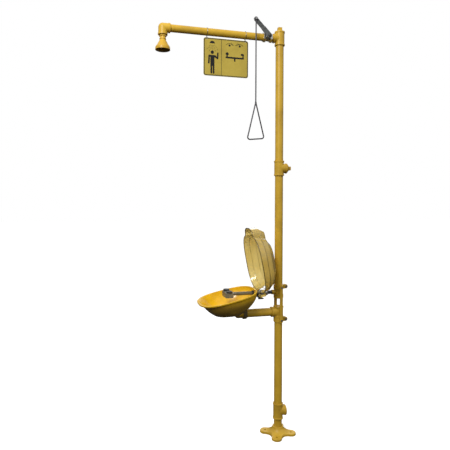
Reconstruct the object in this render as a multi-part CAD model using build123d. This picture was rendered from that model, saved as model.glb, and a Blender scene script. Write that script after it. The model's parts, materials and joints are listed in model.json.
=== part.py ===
from build123d import *
import math
import os

# Emergency drench shower with an eye and face wash, millimetres.
# Origin: pole axis at the floor. +Z up, the shower arm and the bowl point along -X, the lever is on -Y.

# ---- driving dimensions ----
POLE_R = 24.15           # 1-1/2 inch pipe
POLE_BORE = 20.45
ARM_R = 21.10            # 1-1/4 inch pipe
ARM_BORE = 17.50
FEED_R = 10.65           # 1/2 inch pipe
FEED_BORE = 7.90
FIT = 0.05               # radial clearance of threads, pins and sockets
SOCKET = 19.0            # thread engagement in a pipe fitting
FITTING_WALL = 4.4
BEAD_H = 9.0
BEAD_OUT = 2.2

FLANGE_LOBE_R = 78.0     # bolt circle radius
FLANGE_LOBE_END = 30.0
FLANGE_TURN = -25.0
FLANGE_PLATE = 13.0
FLANGE_TOP = 46.0
FLANGE_HOLE_R = 7.0
FLANGE_WEB_R = 40.0      # hollow between two lobes
FLANGE_CONE_R = 54.0
FLANGE_HUB_R = 33.0
FLANGE_BORE_Z = 10.0     # the pole stands on this step

WASTE_Z = 137.0
WASTE_HALF = 47.0
DRAIN_Z = 738.0
DRAIN_HALF = 34.0
DRAIN_SOCKET = 15.0
LOWER_CLAMP_Z = 690.5
UPPER_CLAMP_Z = 888.0
CLAMP_H = 25.0
CLAMP_R = 29.8
CLAMP_TURN = 9.0
CLAMP_SLIT = 3.0
EAR_X = 46.0             # bolt through the clamp's ear
EAR_HALF = 10.0
BOLT_R = 4.0
BOLT_AF = 13.0
BAR_Y = 35.0
BAR_W = 19.0
BAR_T = 7.0
SCREW_R = 3.0
SCREW_HEAD_R = 5.5
FEED_Z = 857.0
CAP_TOP = 843.0
CAP_BOTTOM = 820.0
TEE_Z = 1602.0
TEE_HALF = 45.0
ARM_Z = 2378.0
TOP_HALF = 42.0
TOP_BRANCH = 42.0
PLUG_HEAD_H = 25.0

VALVE_X = -80.0
VALVE_HALF = 27.0
VALVE_SOCKET = 9.0
VALVE_SPLIT = 0.50        # where the end piece screws in, as a part of the half length
VALVE_BALL_R = 15.0
VALVE_BORE = 10.5
VALVE_AF = 50.0
VALVE_STEM_R = 5.0
VALVE_NECK = 34.0
EYE_VALVE_X = -92.0
EYE_HALF = 21.0
EYE_SOCKET = 9.0
EYE_BALL_R = 10.0
EYE_BORE = 6.5
EYE_AF = 30.0
EYE_STEM_R = 4.0
EYE_NECK = 24.0
REACH = -700.0
ELBOW_LEG = 41.0
HEAD_TOP = 2327.0
HEAD_BOTTOM = 2252.0
HEAD_RIM_R = 42.0
HEAD_NECK_R = 16.5
HEAD_STUD_R = 13.0

LEVER_ANGLE = 134.5
LEVER_LENGTH = 122.0
LEVER_BACK = -41.0
LEVER_FRONT = -46.0
ROD_Y = -50.5
ROD_R = 3.75
HANDLE_TOP = 1979.0
HANDLE_BOTTOM = 1764.0
HANDLE_HALF = 52.0

SIGN_X = -332.0
SIGN_W = 268.0
SIGN_H = 218.0
SIGN_TOP = 2346.0
SIGN_T = 2.0
HANGER_X = (-217.0, -447.0)
WIRE_R = 1.5

RIM_X = -322.0
RIM_Z = 847.0
RIM_TILT = 12.3
RIM_A = 169.0
RIM_B = 157.0
RIM_POWER = 2.7
BOWL_FLOOR = 744.0
BOWL_WALL = 4.0
LIP_OUT = 5.0
RECESS_X = -226.0        # flat face in the bowl's back, where the outlet spigot stands
RECESS_HALF = 38.0
RECESS_TOP = 777.0
SPIGOT = 13.0
SPIGOT_R = 26.0
SPIGOT_BORE = 19.0
SUMP_X = -252.0          # centre of the sump's round end, under the bowl
LIP_H = 6.0
GROMMET_X = -151.0
GROMMET_R = 15.0
GROMMET_LENGTH = 18.0
UNION_AF = 59.0
UNION_LENGTH = 22.0

SPRAY_X = -316.0
SPRAY_LOW = 843.0
SPRAY_HIGH = 871.0
SPRAY_BACK = -292.0
SPRAY_FRONT = -340.0
SPRAY_HALF = 50.0
NOZZLE_Y = 36.0
NOZZLE_R = 18.0
NOZZLE_SHANK_R = 12.0
NOZZLE_H = 10.0

HINGE_X = -152.0
HINGE_Z = 860.0
COVER_LEAN = 11.0
COVER_A = 172.0
COVER_B = 161.0
COVER_H = 98.0
COVER_T = 3.0
GRIP_A = 62.0             # hand grip moulded into the cover's far end
GRIP_B = 74.0
GRIP_H = 84.0
GRIP_BACK = 20.0
LUG_IN = 96.0
LUG_OUT = 100.0
CHEEK_IN = 90.0
CHEEK_OUT = 94.0
HINGE_PIN_R = 3.0
CRANK_PIN_R = 2.5
CRANK_EYE_R = 4.8
CRANK = 14.0
CRANK_ANGLE = -142.0
LINK_IN = 101.0
LINK_OUT = 105.0

X_OUT = (-1, 0, 0)
X_IN = (1, 0, 0)
Y_NEAR = (0, -1, 0)
Y_FAR = (0, 1, 0)
UP = (0, 0, 1)
DOWN = (0, 0, -1)
START = (Align.CENTER, Align.CENTER, Align.MIN)


# ---- helpers ----
def rod(start, direction, radius, length):
    return Plane(origin=start, z_dir=direction) * Cylinder(radius, length, align=START)


def tube(start, direction, radius, bore, length):
    return rod(start, direction, radius, length) - rod(start, direction, bore, length)


def hex_bar(start, direction, across_flats, length):
    outline = RegularPolygon(across_flats / math.sqrt(3), 6)
    return extrude(Plane(origin=start, z_dir=direction) * outline, length)


def block(low, high):
    size = [b - a for a, b in zip(low, high)]
    middle = [(a + b) / 2 for a, b in zip(low, high)]
    return Pos(*middle) * Box(*size)


def along(start, direction, distance):
    return tuple(s + d * distance for s, d in zip(start, direction))


def fused(*shapes):
    whole = shapes[0]
    for shape in shapes[1:]:
        whole = whole + shape
    return whole


def fitting_leg(centre, direction, pipe_r, reach):
    body = rod(centre, direction, pipe_r + FITTING_WALL, reach)
    bead_start = along(centre, direction, reach - BEAD_H)
    return body + rod(bead_start, direction, pipe_r + FITTING_WALL + BEAD_OUT, BEAD_H)


def leg_bore(centre, direction, pipe_r, bore, reach, socket):
    mouth = along(centre, direction, reach - socket)
    return rod(centre, direction, bore, reach) + rod(mouth, direction, pipe_r + FIT, socket + 1)


def make_tee(z, half, branch, branch_r, branch_bore, branch_reach, socket):
    centre = (0, 0, z)
    solid = fused(fitting_leg(centre, UP, POLE_R, half), fitting_leg(centre, DOWN, POLE_R, half))
    solid = solid + fitting_leg(centre, branch, branch_r, branch_reach)
    solid = solid - leg_bore(centre, UP, POLE_R, POLE_BORE, half, socket)
    solid = solid - leg_bore(centre, DOWN, POLE_R, POLE_BORE, half, socket)
    return solid - leg_bore(centre, branch, branch_r, branch_bore, branch_reach, socket)


def pole_pipe(low, high):
    return tube((0, 0, low), UP, POLE_R, POLE_BORE, high - low)


def square_plug(start, direction, thread_r, depth, collar_h, head, head_h):
    inner = along(start, direction, -depth)
    shank = rod(inner, direction, thread_r, depth)
    collar = rod(start, direction, thread_r - 3, collar_h)
    base = Plane(origin=start, z_dir=direction)
    shoulder = base * Pos(0, 0, collar_h) * Cone(thread_r - 3, head / 2, head_h / 3, align=START)
    square = base * Box(head, head, head_h, align=START)
    return fused(shank, collar, shoulder, square)


def plate_link(points, radii, y_low, y_high):
    pieces = []
    for (x, z), r in zip(points, radii):
        pieces.append(rod((x, y_low, z), Y_FAR, r, y_high - y_low))
    for (x0, z0), (x1, z1), r in zip(points, points[1:], radii):
        length = math.hypot(x1 - x0, z1 - z0)
        turn = math.degrees(math.atan2(z1 - z0, x1 - x0))
        middle = ((x0 + x1) / 2, (y_low + y_high) / 2, (z0 + z1) / 2)
        bar = Box(length, y_high - y_low, 2 * r)
        pieces.append(Pos(*middle) * Rot(0, -turn, 0) * bar)
    return fused(*pieces)


def polar(centre, angle, radius):
    x, z = centre
    return (x + radius * math.cos(math.radians(angle)), z + radius * math.sin(math.radians(angle)))


# ---- base and pole ----
def floor_flange():
    lobes = []
    for k in range(4):
        width = 2 * FLANGE_LOBE_END
        lobe = Box(FLANGE_LOBE_R, width, FLANGE_PLATE, align=(Align.MIN, Align.CENTER, Align.MIN))
        tip = Pos(FLANGE_LOBE_R, 0, 0) * Cylinder(FLANGE_LOBE_END, FLANGE_PLATE, align=START)
        lobes.append(Rot(0, 0, 90 * k) * (lobe + tip))
    solid = fused(*lobes)
    inner = [e for e in solid.edges().filter_by(Axis.Z)
             if math.hypot(e.center().X, e.center().Y) < 1.5 * FLANGE_LOBE_END]
    solid = fillet(inner, FLANGE_WEB_R)
    solid = fillet(solid.faces().sort_by(Axis.Z)[-1].edges(), 4)
    rise = FLANGE_TOP - FLANGE_PLATE
    cone = Pos(0, 0, FLANGE_PLATE - 1) * Cone(FLANGE_CONE_R, FLANGE_HUB_R, rise / 2, align=START)
    solid = fused(solid, cone, Cylinder(FLANGE_HUB_R, FLANGE_TOP, align=START))
    solid = solid - Pos(0, 0, FLANGE_BORE_Z) * Cylinder(POLE_R + FIT, FLANGE_TOP, align=START)
    solid = solid - Cylinder(POLE_BORE, FLANGE_TOP, align=START)
    for k in range(4):
        hole = Pos(FLANGE_LOBE_R, 0, 0) * Cylinder(FLANGE_HOLE_R, FLANGE_PLATE * 3)
        solid = solid - Rot(0, 0, 90 * k) * hole
    return Rot(0, 0, FLANGE_TURN) * solid


def reducing_top_tee():
    return make_tee(ARM_Z, TOP_HALF, X_OUT, ARM_R, ARM_BORE, TOP_BRANCH, SOCKET)


def drain_tee_plug():
    top = DRAIN_Z + DRAIN_HALF - 3
    plug = rod((0, 0, top), DOWN, POLE_R, DRAIN_SOCKET - 3)
    return plug - block((-8, -8, top - 6), (8, 8, top + 1))


def supply_cap():
    body = rod((0, 0, CAP_BOTTOM), UP, POLE_R + 5.2, CAP_TOP - CAP_BOTTOM)
    body = fillet(body.edges().sort_by(Axis.Z)[0], 4)
    return body - rod((0, 0, CAP_BOTTOM + 5), UP, POLE_R + FIT, CAP_TOP)


def supply_pipe():
    low = CAP_BOTTOM + 5
    high = TEE_Z - TEE_HALF + SOCKET
    return pole_pipe(low, high) - rod((0, 0, FEED_Z), X_OUT, FEED_BORE, 40)


def feed_boss():
    solid = rod((-20, 0, FEED_Z), X_OUT, 14, 24) - rod((0, 0, 800), UP, POLE_R, 100)
    return solid - rod((-20, 0, FEED_Z), X_OUT, FEED_R + FIT, 30)


# ---- bridge between the supply pole and the drain pole ----
def clamp_ring(z):
    low = z - CLAMP_H / 2
    ring = rod((0, 0, low), UP, CLAMP_R, CLAMP_H)
    pad_y = BAR_Y - BAR_T / 2
    pad = block((-BAR_W / 2, -pad_y, low), (BAR_W / 2, pad_y, low + CLAMP_H))
    ear = block((0, -EAR_HALF, low), (EAR_X, EAR_HALF, low + CLAMP_H))
    nose = Pos(EAR_X, 0, z) * Rot(90, 0, 0) * Cylinder(CLAMP_H / 2, 2 * EAR_HALF)
    solid = fused(ring, pad, ear, nose)
    solid = solid - rod((0, 0, low - 1), UP, POLE_R + FIT, CLAMP_H + 2)
    solid = solid - block((0, -CLAMP_SLIT / 2, low - 1), (EAR_X * 2, CLAMP_SLIT / 2, low + CLAMP_H + 1))
    solid = solid - rod((EAR_X, -2 * EAR_HALF, z), Y_FAR, BOLT_R + 0.3, 4 * EAR_HALF)
    for side in (-1, 1):
        solid = solid - rod((0, (POLE_R + 1.85) * side, z), (0, side, 0), SCREW_R + FIT, EAR_HALF)
    return Rot(0, 0, CLAMP_TURN) * solid


def bridge_bar(side):
    low = LOWER_CLAMP_Z - CLAMP_H / 2
    high = UPPER_CLAMP_Z + CLAMP_H / 2
    bar = Pos(0, BAR_Y * side, (low + high) / 2) * Box(BAR_W, BAR_T, high - low)
    bar = fillet(bar.edges().filter_by(Axis.Z), 1.5)
    for z in (LOWER_CLAMP_Z, UPPER_CLAMP_Z):
        bar = bar - rod((0, (BAR_Y - BAR_T) * side, z), (0, side, 0), SCREW_R + FIT, 2 * BAR_T)
    return Rot(0, 0, CLAMP_TURN) * bar


def bridge_screws():
    screws = []
    face = BAR_Y + BAR_T / 2
    for z in (LOWER_CLAMP_Z, UPPER_CLAMP_Z):
        for side in (-1, 1):
            shank = rod((0, (face - 11.5) * side, z), (0, side, 0), SCREW_R, 12)
            head = rod((0, face * side, z), (0, side, 0), SCREW_HEAD_R, 4)
            recess = hex_bar((0, (face + 2) * side, z), (0, side, 0), 5, 3)
            screws.append(Rot(0, 0, CLAMP_TURN) * (shank + head - recess))
    return Compound(children=[s.solid() for s in screws])


def clamp_bolts():
    bolts = []
    for z in (LOWER_CLAMP_Z, UPPER_CLAMP_Z):
        shank = rod((EAR_X, -EAR_HALF, z), Y_FAR, BOLT_R, 2.9 * EAR_HALF)
        head = hex_bar((EAR_X, -EAR_HALF, z), Y_NEAR, BOLT_AF, 5.3)
        bolts.append(Rot(0, 0, CLAMP_TURN) * fused(shank, head))
    return Compound(children=[b.solid() for b in bolts])


def clamp_nuts():
    nuts = []
    for z in (LOWER_CLAMP_Z, UPPER_CLAMP_Z):
        nut = hex_bar((EAR_X, EAR_HALF, z), Y_FAR, BOLT_AF, 6.5)
        nut = nut - rod((EAR_X, EAR_HALF - 1, z), Y_FAR, BOLT_R + FIT, EAR_HALF)
        nuts.append(Rot(0, 0, CLAMP_TURN) * nut)
    return Compound(children=[n.solid() for n in nuts])


# ---- ball valves, built at a centre with the stem along `side` ----
def cavity_end(half, socket):
    return half - socket - 1


def valve_body(x, z, half, socket, pipe_r, ball_r, bore, side, hex_af, stem_r, neck):
    split = x - VALVE_SPLIT * half
    inner = cavity_end(half, socket)
    solid = rod((split, 0, z), X_IN, ball_r + 6.5, x + half - 9 - split)
    solid = solid + hex_bar((x + half, 0, z), X_OUT, hex_af, half * 0.5)
    solid = solid + rod((x, 0, z), side, stem_r + 6, neck)
    solid = solid - rod((x, 0, z), X_IN, bore, half + 1)
    solid = solid - rod((x + half - socket, 0, z), X_IN, pipe_r + FIT, socket + 1)
    solid = solid - rod((split - 1, 0, z), X_IN, ball_r + 1.5, x + inner - split + 1)
    return solid - rod((x, 0, z), side, stem_r + FIT, neck + 1)


def valve_end(x, z, half, socket, pipe_r, ball_r, bore, hex_af):
    split = x - VALVE_SPLIT * half
    solid = hex_bar((split, 0, z), X_OUT, hex_af, half * (1 - VALVE_SPLIT))
    solid = solid - rod((x, 0, z), X_OUT, bore, half + 1)
    solid = solid - rod((x, 0, z), X_OUT, ball_r + 1.5, cavity_end(half, socket))
    return solid - rod((x - half + socket, 0, z), X_OUT, pipe_r + FIT, socket + 1)


def valve_seats(x, z, half, socket, ball_r, bore):
    touch = math.sqrt(ball_r ** 2 - bore ** 2) + FIT
    rings = []
    for direction in (X_IN, X_OUT):
        start = along((x, 0, z), direction, touch)
        rings.append(tube(start, direction, ball_r + 1.45, bore, cavity_end(half, socket) - touch))
    return Compound(children=[r.solid() for r in rings])


def valve_ball(x, z, ball_r, bore, side, bore_axis):
    ball = Pos(x, 0, z) * Sphere(ball_r)
    ball = ball - rod(along((x, 0, z), bore_axis, -ball_r - 1), bore_axis, bore, 2 * ball_r + 2)
    slot_y = side[1] * (ball_r - 2)
    return ball - Pos(x, slot_y, z) * Box(ball_r, 4.2, 4.2)


def valve_stem(x, z, ball_r, side, stem_r, length):
    tang = Pos(x, side[1] * (ball_r - 1.9), z) * Box(ball_r * 0.7, 4, 4)
    shaft = rod((x, side[1] * (ball_r + 0.3), z), side, stem_r, length - ball_r - 0.3)
    neck = rod((x, side[1] * (ball_r - 1), z), side, 2, 3)
    return fused(shaft, neck, tang)


def packing_nut(x, z, side, stem_r, start, across_flats):
    nut = hex_bar((x, side[1] * start, z), side, across_flats, 6)
    return nut - rod((x, side[1] * (start - 1), z), side, stem_r + FIT, 10)


# ---- shower lever, rod and handle ----
PIVOT = (VALVE_X, ARM_Z)
LEVER_TIP = polar(PIVOT, LEVER_ANGLE, LEVER_LENGTH)


def shower_lever():
    middle = polar(PIVOT, LEVER_ANGLE, LEVER_LENGTH * 0.45)
    lever = plate_link([PIVOT, middle, LEVER_TIP], [15, 13, 11], LEVER_FRONT, LEVER_BACK)
    for k in (0.34, 0.52, 0.70):
        x, z = polar(PIVOT, LEVER_ANGLE, LEVER_LENGTH * k)
        groove = Pos(x, LEVER_FRONT, z) * Rot(0, -LEVER_ANGLE, 0) * Box(12, 3, 15)
        lever = lever - groove
    lever = lever - rod((VALVE_X, LEVER_FRONT - 5, ARM_Z), Y_FAR, VALVE_STEM_R + FIT, 20)
    return lever - rod((LEVER_TIP[0], LEVER_FRONT - 1, LEVER_TIP[1]), Y_FAR, 4, 20)


def lever_pin():
    x, z = LEVER_TIP
    pin = rod((x, ROD_Y - 5, z), Y_FAR, 4, LEVER_BACK + 2 - ROD_Y + 5)
    head = rod((x, LEVER_BACK, z), Y_FAR, 7, 2.5)
    return fused(pin, head, rod((x, ROD_Y - 7, z), Y_FAR, 6.5, 3.2))


def lever_nut():
    nut = hex_bar((VALVE_X, LEVER_FRONT, ARM_Z), Y_NEAR, 14, 5.5)
    return nut - rod((VALVE_X, LEVER_FRONT + 1, ARM_Z), Y_NEAR, VALVE_STEM_R + FIT, 10)


def handle_side(corner, middle):
    apex = (LEVER_TIP[0], ROD_Y, HANDLE_TOP)
    path = FilletPolyline(apex, corner, middle, radius=13)
    section = Plane(origin=path @ 0, z_dir=path % 0) * Circle(ROD_R)
    return sweep(section, path=path)


def pull_rod():
    x, z = LEVER_TIP
    eye = rod((x, ROD_Y - 3.5, z), Y_FAR, 10, 7)
    shaft = rod((x, ROD_Y, HANDLE_TOP - 4), UP, ROD_R, z - 6 - HANDLE_TOP + 4)
    apex = Pos(x, ROD_Y, HANDLE_TOP) * Sphere(ROD_R + 1.6)
    middle = (x, ROD_Y, HANDLE_BOTTOM + 1)
    solid = fused(shaft, eye, apex)
    for side in (-1, 1):
        corner = (x + side * HANDLE_HALF, ROD_Y, HANDLE_BOTTOM + 1 + 5 * side)
        solid = solid + handle_side(corner, middle)
    return solid - rod((x, ROD_Y - 5, z), Y_FAR, 4 + FIT, 10)


# ---- shower arm and head ----
def shower_arm():
    return tube((VALVE_X - VALVE_HALF + VALVE_SOCKET, 0, ARM_Z), X_OUT, ARM_R, ARM_BORE,
                -REACH - ELBOW_LEG + SOCKET + VALVE_X - VALVE_HALF + VALVE_SOCKET)


def arm_elbow():
    centre = (REACH, 0, ARM_Z)
    solid = fused(fitting_leg(centre, X_IN, ARM_R, ELBOW_LEG), fitting_leg(centre, DOWN, ARM_R, ELBOW_LEG))
    solid = solid + Pos(*centre) * Sphere(ARM_R + FITTING_WALL)
    solid = solid - leg_bore(centre, X_IN, ARM_R, ARM_BORE, ELBOW_LEG, SOCKET)
    return solid - leg_bore(centre, DOWN, ARM_R, ARM_BORE, ELBOW_LEG, SOCKET)


def head_bushing():
    top = ARM_Z - ELBOW_LEG + SOCKET
    low = HEAD_TOP - 14
    solid = rod((REACH, 0, ARM_Z - ELBOW_LEG), UP, ARM_R, SOCKET)
    solid = solid + rod((REACH, 0, low), UP, HEAD_STUD_R, top - low)
    solid = solid + hex_bar((REACH, 0, HEAD_TOP), UP, 38, ARM_Z - ELBOW_LEG - HEAD_TOP)
    return solid - rod((REACH, 0, low - 1), UP, 9.5, 80)


def bell_profile(offset, low, high):
    neck = HEAD_NECK_R - offset
    rim = HEAD_RIM_R - offset
    with BuildSketch(Plane.XZ) as sketch:
        with BuildLine():
            Polyline((0, low), (rim, low), (rim, HEAD_BOTTOM + 9))
            Spline((rim, HEAD_BOTTOM + 9), (rim - 7.5, HEAD_BOTTOM + 25), (neck + 6.5, HEAD_BOTTOM + 45),
                   (neck + 0.6, HEAD_TOP - 13), tangents=((0, 1), (0, 1)))
            Polyline((neck + 0.6, HEAD_TOP - 13), (neck, high), (0, high), (0, low))
        make_face()
    return Pos(REACH, 0, 0) * revolve(sketch.sketch, axis=Axis.Z)


def shower_head():
    solid = bell_profile(0, HEAD_BOTTOM, HEAD_TOP)
    collar = Pos(REACH, 0, HEAD_TOP - 14) * Torus(HEAD_NECK_R, 3)
    solid = solid + collar
    solid = solid - bell_profile(2.6, HEAD_BOTTOM - 1, HEAD_TOP - 16)
    return solid - rod((REACH, 0, HEAD_TOP - 40), UP, HEAD_STUD_R + FIT, 60)


def head_diffuser():
    deflector = Pos(REACH, 0, HEAD_BOTTOM + 16) * Cone(24, 3, 12, align=START)
    stem = rod((REACH, 0, HEAD_BOTTOM + 27), UP, 3, 30)
    spider = Pos(REACH, 0, HEAD_BOTTOM + 50) * (Box(28, 5, 4) + Box(5, 28, 4))
    ring = tube((REACH, 0, HEAD_BOTTOM + 48), UP, 15.5, 12.5, 4)
    return fused(deflector, stem, spider, ring)


# ---- sign ----
def sign_plate():
    plate = Pos(SIGN_X, 0, SIGN_TOP - SIGN_H / 2) * Box(SIGN_W, SIGN_T, SIGN_H)
    plate = fillet(plate.edges().filter_by(Axis.Y), 13)
    for x in HANGER_X:
        plate = plate - rod((x, -5, SIGN_TOP - 7), Y_FAR, 3, 10)
    return plate


def sign_hanger(x):
    arm_loop = Pos(x, 0, ARM_Z) * Rot(0, 90, 0) * Torus(ARM_R + FIT + WIRE_R, WIRE_R)
    eye = Pos(x, 0, SIGN_TOP) * Rot(0, 90, 0) * Torus(7, WIRE_R)
    top = ARM_Z - ARM_R - FIT - WIRE_R
    return fused(arm_loop, eye, rod((x, 0, SIGN_TOP + 7), UP, WIRE_R, top - SIGN_TOP - 7))


# ---- bowl ----
def super_outline(a, b, power, count=32):
    points = []
    for k in range(count):
        t = 2 * math.pi * k / count
        c = math.cos(t)
        s = math.sin(t)
        x = a * math.copysign(abs(c) ** (2 / power), c)
        y = b * math.copysign(abs(s) ** (2 / power), s)
        points.append((x, y))
    return make_face(Spline(*points, periodic=True))


def tilted(x, z, tilt):
    c = math.cos(math.radians(tilt))
    s = math.sin(math.radians(tilt))
    return Plane(origin=(x, 0, z), x_dir=(-c, 0, -s), z_dir=(-s, 0, c))


RIM_PLANE = tilted(RIM_X, RIM_Z, RIM_TILT)
BOWL_STATIONS = ((RIM_X, RIM_Z, RIM_TILT, RIM_A, RIM_B), (-309, 812, 10, 152, 146),
                 (-316, 777, 5.5, 122, 124), (-321, BOWL_FLOOR, 2, 80, 86))


def bowl_form(inset, lift):
    faces = []
    for x, z, tilt, a, b in BOWL_STATIONS:
        outline = super_outline(a - inset, b - inset, RIM_POWER)
        faces.append(tilted(x, z, tilt).offset(lift) * outline)
    return loft(faces)


def outlet_recess(grow):
    return block((RECESS_X - grow, -RECESS_HALF - grow, 600), (-100, RECESS_HALF + grow, RECESS_TOP + grow))


def sump(radius, start):
    length = start - SUMP_X
    return rod((start, 0, DRAIN_Z), X_OUT, radius, length) + Pos(SUMP_X, 0, DRAIN_Z) * Sphere(radius)


def bowl():
    outline = super_outline(RIM_A + LIP_OUT, RIM_B + LIP_OUT, RIM_POWER)
    solid = bowl_form(0, 0) - outlet_recess(0)
    solid = solid + extrude(RIM_PLANE.offset(-LIP_H) * outline, LIP_H)
    solid = solid + sump(SPIGOT_R, RECESS_X + SPIGOT)
    solid = solid - (bowl_form(BOWL_WALL, BOWL_WALL) - outlet_recess(BOWL_WALL))
    solid = solid - sump(SPIGOT_BORE, RECESS_X + SPIGOT + 1)
    return solid - rod((GROMMET_X + 11, 0, FEED_Z), X_OUT, GROMMET_R, 50)


def arm_grommet():
    return tube((GROMMET_X, 0, FEED_Z), X_OUT, GROMMET_R - FIT, FEED_R + FIT, GROMMET_LENGTH)


def drain_union():
    nut = hex_bar((RECESS_X + UNION_LENGTH + 1, 0, DRAIN_Z), X_OUT, UNION_AF, UNION_LENGTH)
    nut = nut - rod((RECESS_X + SPIGOT, 0, DRAIN_Z), X_OUT, SPIGOT_R + FIT, 40)
    return nut - rod((RECESS_X + 40, 0, DRAIN_Z), X_OUT, POLE_R + FIT, 40)


# ---- eye and face wash ----
def spray_arm():
    start = EYE_VALVE_X - EYE_HALF + EYE_SOCKET
    return tube((start, 0, FEED_Z), X_OUT, FEED_R, FEED_BORE, start + 306)


def spray_body():
    bar = block((SPRAY_FRONT, -SPRAY_HALF, SPRAY_LOW), (SPRAY_BACK, SPRAY_HALF, SPRAY_HIGH))
    bar = fillet(bar.edges().filter_by(Axis.Z), 10)
    bar = bar - rod((SPRAY_BACK + 12, 0, FEED_Z), X_OUT, FEED_R + FIT, 26)
    bar = bar - rod((SPRAY_BACK - 8, 0, FEED_Z), X_OUT, 7, 16)
    bar = bar - rod((SPRAY_X, -NOZZLE_Y, FEED_Z), Y_FAR, 6.5, 2 * NOZZLE_Y)
    for y in (-NOZZLE_Y, NOZZLE_Y):
        bar = bar - rod((SPRAY_X, y, FEED_Z + 3), UP, NOZZLE_SHANK_R + FIT, 30)
    return bar


def spray_nozzles():
    heads = []
    for y in (-NOZZLE_Y, NOZZLE_Y):
        shank = rod((SPRAY_X, y, FEED_Z + 4), UP, NOZZLE_SHANK_R, 14)
        head = shank + rod((SPRAY_X, y, SPRAY_HIGH), UP, NOZZLE_R, NOZZLE_H)
        head = head - rod((SPRAY_X, y, FEED_Z), UP, 8, 20.5)
        for k in range(8):
            turn = k * math.pi / 4
            spot = (SPRAY_X + 11 * math.cos(turn), y + 11 * math.sin(turn), SPRAY_HIGH + NOZZLE_H - 2)
            head = head - rod(spot, UP, 1.6, 4)
        heads.append(head)
    return Compound(children=[h.solid() for h in heads])


def hinge_bracket():
    shelf = block((-147, -CHEEK_OUT, 838), (-126, CHEEK_OUT, 843))
    solid = shelf + block((-147, -15, 843), (-129, 15, FEED_Z))
    for side in (-1, 1):
        y_low = min(CHEEK_IN * side, CHEEK_OUT * side)
        cheek = block((HINGE_X - 7, y_low, 838), (HINGE_X + 9, y_low + 4, HINGE_Z))
        boss = rod((HINGE_X + 0.5, y_low, HINGE_Z), Y_FAR, 7.5, 4)
        solid = solid + cheek + boss
        solid = solid - rod((HINGE_X, y_low - 1, HINGE_Z), Y_FAR, HINGE_PIN_R, 6)
    return solid - rod((-180, 0, FEED_Z), X_IN, FEED_R, 80)


def hinge_pins():
    pins = []
    for side in (-1, 1):
        start = (HINGE_X, (CHEEK_IN - 2) * side, HINGE_Z)
        pin = rod(start, (0, side, 0), HINGE_PIN_R, LUG_OUT + 2 - CHEEK_IN)
        head = rod((HINGE_X, (CHEEK_IN - 4) * side, HINGE_Z), (0, side, 0), 5, 4)
        pins.append(pin + head)
    return Compound(children=[p.solid() for p in pins])


# ---- dust cover, drawn in its own plane: x away from the hinge, z towards the crown ----
def cover_plane():
    c = math.cos(math.radians(COVER_LEAN))
    s = math.sin(math.radians(COVER_LEAN))
    return Plane(origin=(HINGE_X, 0, HINGE_Z), x_dir=(-s, 0, c), z_dir=(c, 0, s))


COVER_STATIONS = ((0.0, 1.0, 0.0), (0.38, 0.955, 2.0), (0.74, 0.83, 5.0), (1.0, 0.58, 9.0))
GRIP_STATIONS = ((0.0, 1.0, 0.0), (0.60, 0.92, -2.0), (1.0, 0.62, -8.0))
COVER_MID = 169.5
COVER_RISE = 29.5
COVER_POWER = 3.0


def stepped(stations, middle, a, b, height, inset, drop):
    faces = []
    for share, scale, shift in stations:
        outline = super_outline(a * scale - inset, b * scale - inset, COVER_POWER)
        faces.append(Pos(middle + shift, 0, COVER_RISE + height * share - drop) * outline)
    return loft(faces, ruled=True)


def cover_form(inset, drop):
    dome = stepped(COVER_STATIONS, COVER_MID, COVER_A, COVER_B, COVER_H, inset, drop)
    grip_x = COVER_MID + COVER_A - GRIP_BACK
    return dome + stepped(GRIP_STATIONS, grip_x, GRIP_A, GRIP_B, GRIP_H, inset, drop)


def cover_lug(side):
    y_low = min(LUG_IN * side, LUG_OUT * side)
    knuckle = Pos(0, y_low + 2, 0) * Rot(90, 0, 0) * Cylinder(8, 4)
    web = block((-12, y_low, 0), (2, y_low + 4, COVER_RISE + 8))
    heel = block((-12, y_low, COVER_RISE - 3), (26, y_low + 4, COVER_RISE + 8))
    return knuckle + web + heel


def dust_cover():
    solid = cover_form(0, 0) - cover_form(COVER_T, COVER_T)
    for side in (-1, 1):
        solid = solid + (cover_lug(side) - cover_form(COVER_T, COVER_T))
    solid = cover_plane() * solid
    far_crank = polar((HINGE_X, HINGE_Z), CRANK_ANGLE, CRANK)
    solid = solid + plate_link([(HINGE_X, HINGE_Z), far_crank], [6, CRANK_EYE_R], LUG_IN, LUG_OUT)
    solid = solid - block((-150, -32, 840), (-20, 32, 892))
    for side in (-1, 1):
        solid = solid - rod((HINGE_X, (LUG_IN - 5) * side, HINGE_Z), (0, side, 0), HINGE_PIN_R + FIT, 20)
    return solid - rod((far_crank[0], LUG_IN - 1, far_crank[1]), Y_FAR, CRANK_PIN_R + FIT, 8)


def valve_crank():
    tip = polar((EYE_VALVE_X, FEED_Z), CRANK_ANGLE, CRANK)
    crank = plate_link([(EYE_VALVE_X, FEED_Z), tip], [7, CRANK_EYE_R], LUG_IN, LUG_OUT)
    crank = crank - rod((EYE_VALVE_X, LUG_IN - 1, FEED_Z), Y_FAR, EYE_STEM_R + FIT, 8)
    return crank + rod((tip[0], LUG_IN, tip[1]), Y_FAR, CRANK_PIN_R, LINK_OUT + 2 - LUG_IN)


def cover_link():
    start = polar((HINGE_X, HINGE_Z), CRANK_ANGLE, CRANK)
    end = polar((EYE_VALVE_X, FEED_Z), CRANK_ANGLE, CRANK)
    link = plate_link([start, end], [CRANK_EYE_R, CRANK_EYE_R], LINK_IN, LINK_OUT)
    link = link - rod((end[0], LINK_IN - 1, end[1]), Y_FAR, CRANK_PIN_R + FIT, 8)
    return link + rod((start[0], LUG_IN - 1.5, start[1]), Y_FAR, CRANK_PIN_R, LINK_IN - LUG_IN + 3)


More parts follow.
